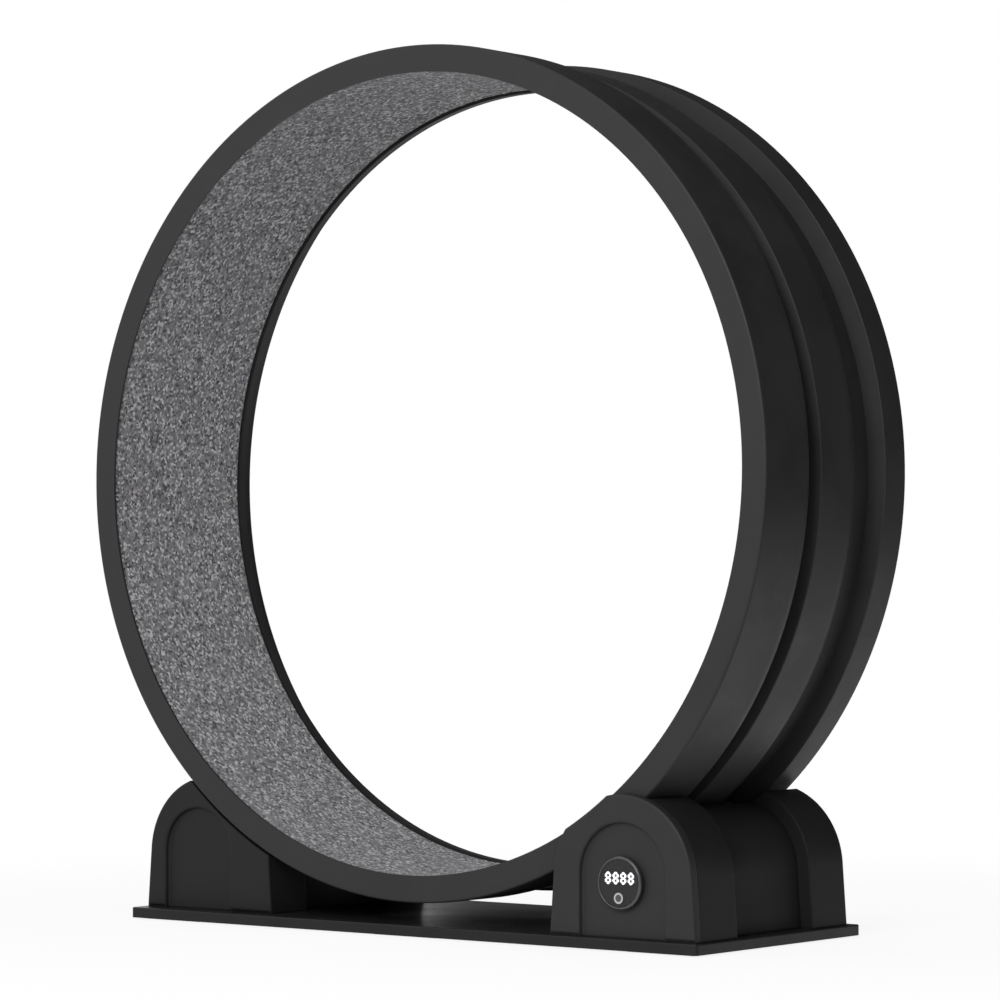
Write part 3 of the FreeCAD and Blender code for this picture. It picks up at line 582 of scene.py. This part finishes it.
def solderResist(name, settings):
    material, tree, shader, vector = newMaterial(name, settings)
    tracks = tree.nodes.new("ShaderNodeTexVoronoi")
    tracks.distance = "MANHATTAN"
    tracks.feature = "DISTANCE_TO_EDGE"
    tracks.inputs["Scale"].default_value = 1.0 / settings["trackPitch"]
    tree.links.new(vector, tracks.inputs["Vector"])
    copper = rangeNode(tree, tracks.outputs["Distance"], *settings["trackEdge"])
    colour = mixColours(tree, copper, settings["resistColour"], settings["copperColour"])
    tree.links.new(colour, shader.inputs["Base Color"])
    grain = placeEffect(tree, "grain", vector, {"Grain Size": settings["grainSize"]})
    low, high = settings["roughness"]
    tree.links.new(rangeNode(tree, grain["Patches"], 0.0, 1.0, low, high), shader.inputs["Roughness"])
    addBump(tree, shader, copper, settings["bumpStrength"], settings["trackHeight"])
    return material


windowFinish = {
    "shader": {"Transmission Weight": 1.0, "IOR": 1.45, "Specular IOR Level": 0.35},
    "smokeColour": (0.11, 0.11, 0.112),
    "thinColour": (0.15, 0.15, 0.153),
    "roughness": (0.02, 0.06),
    "smudgeSpread": 0.014,
}


def smokedWindow(name, settings):
    material, tree, shader, vector = newMaterial(name, settings)
    smudges = placeEffect(tree, "smudges", vector, {"Spread": settings["smudgeSpread"]})
    colour = mixColours(tree, smudges["Mask"], settings["smokeColour"], settings["thinColour"])
    tree.links.new(colour, shader.inputs["Base Color"])
    low, high = settings["roughness"]
    tree.links.new(rangeNode(tree, smudges["Mask"], 0.0, 1.0, low, high), shader.inputs["Roughness"])
    return material


glowFinish = {
    "shader": {"Base Color": (0.8, 0.8, 0.8, 1.0), "Roughness": 0.5, "Emission Strength": 14.0},
    "coreColour": (1.0, 1.0, 1.0),
    "rimColour": (0.78, 0.8, 0.85),
    "unevenSize": 0.004,
}


def litBars(name, settings):
    material, tree, shader, vector = newMaterial(name, settings)
    uneven = noiseNode(tree, vector, 1.0 / settings["unevenSize"], detail=1.0)
    colour = mixColours(tree, uneven, settings["coreColour"], settings["rimColour"])
    tree.links.new(colour, shader.inputs["Emission Color"])
    return material


printFinish = {
    "shader": {"Specular IOR Level": 0.3},
    "deepColour": (0.33, 0.33, 0.33),
    "paleColour": (0.42, 0.42, 0.42),
    "scuffColour": (0.25, 0.25, 0.25),
    "scuffed": 0.4,
    "roughness": (0.45, 0.6),
    "grainSize": 0.0003,
    "grainDepth": 0.4,
    "smudgeSpread": 0.003,
    "bumpStrength": 0.1,
}

finishes = {
    "shell_black": mouldedPlastic("shellBlack", shellFinish),
    "plate_black": mouldedPlastic("plateBlack", plateFinish),
    "drum_black": mouldedPlastic("drumBlack", drumFinish),
    "carpet_grey": carpetLoops("carpetGrey", carpetFinish),
    "pad_rubber": rubberSkin("padRubber", rubberFinish),
    "tyre_rubber": rubberSkin("tyreRubber", {**rubberFinish, "grainSize": 0.001, "scuffed": 0.8}),
    "hub_nylon": mouldedPlastic("hubNylon", nylonFinish),
    "bracket_nylon": mouldedPlastic("bracketNylon", bracketFinish),
    "screw_steel": turnedMetal("screwSteel", steelFinish),
    "bush_brass": turnedMetal("bushBrass", brassFinish),
    "bezel_black": mouldedPlastic("bezelBlack", bezelFinish),
    "window_dark": smokedWindow("windowSmoked", windowFinish),
    "button_black": mouldedPlastic("buttonBlack", buttonFinish),
    "board_green": solderResist("boardResist", boardFinish),
    "module_black": mouldedPlastic("moduleBlack", moduleFinish),
}
# the console's paler copy of the housing plastic is painted light
ownFinishes = {"console_cover": mouldedPlastic("consoleBlackPaintedLight", consolePaintedLightFinish)}
digitGlow = litBars("digitGlow", glowFinish)
ringPrint = rubberSkin("ringPrint", printFinish)
print("materials made:", len(finishes) + len(ownFinishes) + 2)


creaseAngle = math.radians(24)    # sharper corners stay crisp
for subpart in frame["record"]["subparts"]:
    mesh = nodes[subpart["node"]].data
    mesh.materials.clear()
    mesh.materials.append(ownFinishes.get(subpart["node"], finishes[subpart["material_slot"]]))
    mesh.shade_smooth()
    mesh.set_sharp_from_angle(angle=creaseAngle)
print("finishes on the frame's nodes")


def newPiece(name, mesh, material, body):
    mesh.materials.append(material)
    piece = bpy.data.objects.new(name, mesh)
    bpy.context.scene.collection.objects.link(piece)
    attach(piece, body)
    return piece


# carpet band glued inside the drum

carpetBand = {
    "thickness": 0.0048,          # metres
    "loopPitch": 0.0025,          # between the loops of the pile
    "pileRise": 0.0011,           # how much the loops differ in height
    "edgeFold": (0.0032, 0.0014),    # fall of the two outermost rows at the cut edges
    "crease": 70,                 # degrees, where the pile turns into the cut edge
    "seed": 7,
}


def makeCarpet():
    low, high = (np.array(corner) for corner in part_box("running_mat"))
    axleHeight = (low[2] + high[2]) / 2
    outer = (high[0] - low[0]) / 2
    inner = outer - carpetBand["thickness"]
    width = high[1] - low[1]
    around = int(round(2 * math.pi * inner / carpetBand["loopPitch"]))
    across = int(round(width / carpetBand["loopPitch"]))
    chance = np.random.default_rng(carpetBand["seed"])
    rise = chance.random((around, across)) * carpetBand["pileRise"]
    rise = (2 * rise + np.roll(rise, 1, axis=0) + np.roll(rise, 1, axis=1)) / 4    # loops lean on neighbours
    for row, fall in enumerate(carpetBand["edgeFold"]):
        rise[:, [row, -1 - row]] = fall
    radius = np.hstack([np.full((around, 1), outer), inner + rise, np.full((around, 1), outer)])
    places = np.linspace(low[1], high[1], across)
    places = np.concatenate([[low[1]], places, [high[1]]])
    angle = np.arange(around) * 2 * math.pi / around
    points = np.stack([radius * np.sin(angle)[:, None],
                       np.broadcast_to(places, radius.shape),
                       axleHeight - radius * np.cos(angle)[:, None]], axis=-1).reshape(-1, 3)
    rows, columns = radius.shape
    first = np.arange(rows)[:, None] * columns
    following = ((np.arange(rows) + 1) % rows)[:, None] * columns
    left = np.arange(columns)[None, :]
    right = ((np.arange(columns) + 1) % columns)[None, :]
    corners = [first + left, first + right, following + right, following + left]
    faces = np.stack(corners, axis=-1).reshape(-1, 4)
    mesh = bpy.data.meshes.new("carpetBand")
    mesh.from_pydata(points.tolist(), [], faces.tolist())
    mesh.update()
    mesh.shade_smooth()
    mesh.set_sharp_from_angle(angle=math.radians(carpetBand["crease"]))
    band = newPiece("carpetBand", mesh, finishes["carpet_grey"], "wheel")
    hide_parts("running_mat")


makeCarpet()
print("carpet laid")


# lit digits on the digit module, behind the window

digitBars = {
    "count": 4,
    "pitch": 0.0104,
    "width": 0.0086,              # between the middles of the upright bars, plus a stroke
    "height": 0.0138,
    "stroke": 0.0029,
    "gap": 0.0002,                # between neighbouring bars
    "tipLength": 0.4,             # a bar's pointed tip and the start of its full width, in half strokes
    "tipCut": 0.6,
    "tipRoom": 0.25,              # strokes that a tip stays short of the corner
    "thickness": 0.00012,
}


def addBar(mesh, start, end, stroke, back, front):
    along = (end - start).normalized()
    side = Vector((-along.z, 0, along.x)) * stroke / 2
    tip = along * stroke / 2
    point, cut = tip * digitBars["tipLength"], tip * digitBars["tipCut"]
    outline = [start - point, start + cut + side, end - cut + side,
               end + point, end - cut - side, start + cut - side]
    rear = [mesh.verts.new((p.x, back, p.z)) for p in outline]
    lit = [mesh.verts.new((p.x, front, p.z)) for p in outline]
    mesh.faces.new(lit)
    mesh.faces.new(rear[::-1])
    for i in range(len(outline)):
        j = (i + 1) % len(outline)
        mesh.faces.new((rear[i], rear[j], lit[j], lit[i]))


def makeDigit(index):
    low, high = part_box("digit_module")
    middle = (index - (digitBars["count"] - 1) / 2) * digitBars["pitch"] + (low[0] + high[0]) / 2
    centre = (low[2] + high[2]) / 2
    stroke = digitBars["stroke"]
    reachX = (digitBars["width"] - stroke) / 2
    reachZ = (digitBars["height"] - stroke) / 2
    spare = digitBars["gap"] + stroke * digitBars["tipRoom"]
    mesh = bmesh.new()
    for level in (-1, 0, 1):
        ends = [Vector((middle + turn * (reachX - spare), 0, centre + level * reachZ)) for turn in (-1, 1)]
        addBar(mesh, *ends, stroke, low[1], low[1] - digitBars["thickness"])
    for turn in (-1, 1):
        for level in (-1, 1):
            ends = [Vector((middle + turn * reachX, 0, centre + level * reach))
                    for reach in (spare, reachZ - spare)]
            addBar(mesh, *ends, stroke, low[1], low[1] - digitBars["thickness"])
    bmesh.ops.recalc_face_normals(mesh, faces=mesh.faces)
    data = bpy.data.meshes.new(f"litDigit{index + 1}")
    mesh.to_mesh(data)
    mesh.free()
    newPiece(f"litDigit{index + 1}", data, digitGlow, "base")


for index in range(digitBars["count"]):
    makeDigit(index)
print("digits lit")


# ring printed on the push button

ringMark = {
    "outer": 0.0061,
    "inner": 0.0041,
    "thickness": 0.00006,
    "steps": 64,
}


def makeRingMark():
    low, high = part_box("push_button")
    inner, outer = ringMark["inner"], ringMark["outer"]
    profile = [(inner, 0), (inner, 1), (outer, 1), (outer, 0)]
    top = (low[0] + high[0]) / 2, (low[2] + high[2]) / 2
    points, faces = [], []
    steps, sides = ringMark["steps"], len(profile)
    for step in range(steps):
        angle = 2 * math.pi * step / steps
        for radius, rise in profile:
            points.append((top[0] + radius * math.cos(angle), low[1] - rise * ringMark["thickness"],
                           top[1] + radius * math.sin(angle)))
        for side in range(sides):
            here, there = step * sides, (step + 1) % steps * sides
            after = (side + 1) % sides
            faces.append((here + side, here + after, there + after, there + side))
    mesh = bpy.data.meshes.new("ringMark")
    mesh.from_pydata(points, [], faces)
    mesh.update()
    newPiece("ringMark", mesh, ringPrint, "button")


makeRingMark()
print("button marked")


# studio: white surroundings, soft lights, pale floor and a dark card for the reflections

studio = {
    "ambient": 0.65,              # world's light on the object
    "key": {"place": (1.2, -3.6, 2.5), "size": 2.0, "power": 105},
    "fill": {"place": (-2.6, -3.6, 1.6), "size": 2.5, "power": 14},
    "aim": (0.0, 0.0, 0.45),
    "floorRadius": 9.0,
    "floorSides": 96,
    "floorColour": (0.9, 0.9, 0.9, 1.0),
    "floorGlow": 0.86,            # share of plain white in what the camera sees of the floor
    "floorFade": (0.5, 1.6),      # metres from the middle, where the floor turns into plain white
    "card": {"distance": 2.6, "from": 55, "to": 220, "height": 3.0},    # from and to in degrees
    "cardRoof": (0.2, 3.5),       # share of the distance, and height, where its roof ends
    "cardColour": (0.03, 0.03, 0.03, 1.0),
}


def seenRay(tree):
    path = tree.nodes.new("ShaderNodeLightPath")
    seen = mathNode(tree, "MAXIMUM", path.outputs["Is Camera Ray"], path.outputs["Is Glossy Ray"])
    return mathNode(tree, "MAXIMUM", seen, path.outputs["Is Transmission Ray"])


def setUpWorld():
    world = bpy.data.worlds.new("studioWhite")
    bpy.context.scene.world = world
    world.use_nodes = True
    tree = world.node_tree
    tree.nodes.clear()
    output = tree.nodes.new("ShaderNodeOutputWorld")
    mix = tree.nodes.new("ShaderNodeMixShader")
    for socket, strength in ((mix.inputs[1], studio["ambient"]), (mix.inputs[2], 1.0)):
        light = tree.nodes.new("ShaderNodeBackground")
        light.inputs["Color"].default_value = (1.0, 1.0, 1.0, 1.0)
        light.inputs["Strength"].default_value = strength
        tree.links.new(light.outputs["Background"], socket)
    tree.links.new(seenRay(tree), mix.inputs["Fac"])
    tree.links.new(mix.outputs["Shader"], output.inputs["Surface"])


def addSoftbox(name):
    settings = studio[name]
    data = bpy.data.lights.new(name, "AREA")
    data.shape = "DISK"
    data.size = settings["size"]
    data.energy = settings["power"]
    light = bpy.data.objects.new(name, data)
    light.location = settings["place"]
    light.rotation_euler = (Vector(studio["aim"]) - light.location).to_track_quat("-Z", "Y").to_euler()
    bpy.context.scene.collection.objects.link(light)


def makeFloor():
    material = bpy.data.materials.new("floorWhite")
    material.use_nodes = True
    tree = material.node_tree
    tree.nodes.clear()
    output = tree.nodes.new("ShaderNodeOutputMaterial")
    mix = tree.nodes.new("ShaderNodeMixShader")
    paint = tree.nodes.new("ShaderNodeBsdfDiffuse")
    paint.inputs["Color"].default_value = studio["floorColour"]
    glow = tree.nodes.new("ShaderNodeEmission")
    surface = tree.nodes.new("ShaderNodeNewGeometry")
    away = tree.nodes.new("ShaderNodeVectorMath")
    away.operation = "LENGTH"
    tree.links.new(surface.outputs["Position"], away.inputs[0])
    white = rangeNode(tree, away.outputs["Value"], *studio["floorFade"], studio["floorGlow"], 1.0)
    tree.links.new(mathNode(tree, "MULTIPLY", seenRay(tree), white), mix.inputs["Fac"])
    tree.links.new(paint.outputs["BSDF"], mix.inputs[1])
    tree.links.new(glow.outputs["Emission"], mix.inputs[2])
    tree.links.new(mix.outputs["Shader"], output.inputs["Surface"])
    mesh = bmesh.new()
    bmesh.ops.create_circle(mesh, cap_ends=True, segments=studio["floorSides"], radius=studio["floorRadius"])
    data = bpy.data.meshes.new("studioFloor")
    mesh.to_mesh(data)
    mesh.free()
    data.materials.append(material)
    floor = bpy.data.objects.new("studioFloor", data)
    floor.location.z = cadBox[0].z
    bpy.context.scene.collection.objects.link(floor)


def makeCard():    # dark curved screen that keeps white out of the reflections at the right and above
    settings = studio["card"]
    material = bpy.data.materials.new("cardBlack")
    material.use_nodes = True
    material.node_tree.nodes["Principled BSDF"].inputs["Base Color"].default_value = studio["cardColour"]
    mesh = bmesh.new()
    columns = []
    for degrees in range(settings["from"], settings["to"] + 1):
        turn = math.radians(degrees)
        x, y = settings["distance"] * math.sin(turn), -settings["distance"] * math.cos(turn)
        profile = [(1.0, cadBox[0].z), (1.0, settings["height"]), studio["cardRoof"]]
        columns.append([mesh.verts.new((x * share, y * share, z)) for share, z in profile])
    for here, there in zip(columns, columns[1:]):
        for low, high in ((0, 1), (1, 2)):
            mesh.faces.new((here[low], there[low], there[high], here[high]))
    data = bpy.data.meshes.new("shadeCard")
    mesh.to_mesh(data)
    mesh.free()
    data.materials.append(material)
    card = bpy.data.objects.new("shadeCard", data)
    card.visible_camera = False
    card.visible_diffuse = False
    card.visible_shadow = False
    bpy.context.scene.collection.objects.link(card)


setUpWorld()
addSoftbox("key")
addSoftbox("fill")
makeFloor()
makeCard()
bpy.context.scene.view_settings.view_transform = "Standard"
print("studio lit")
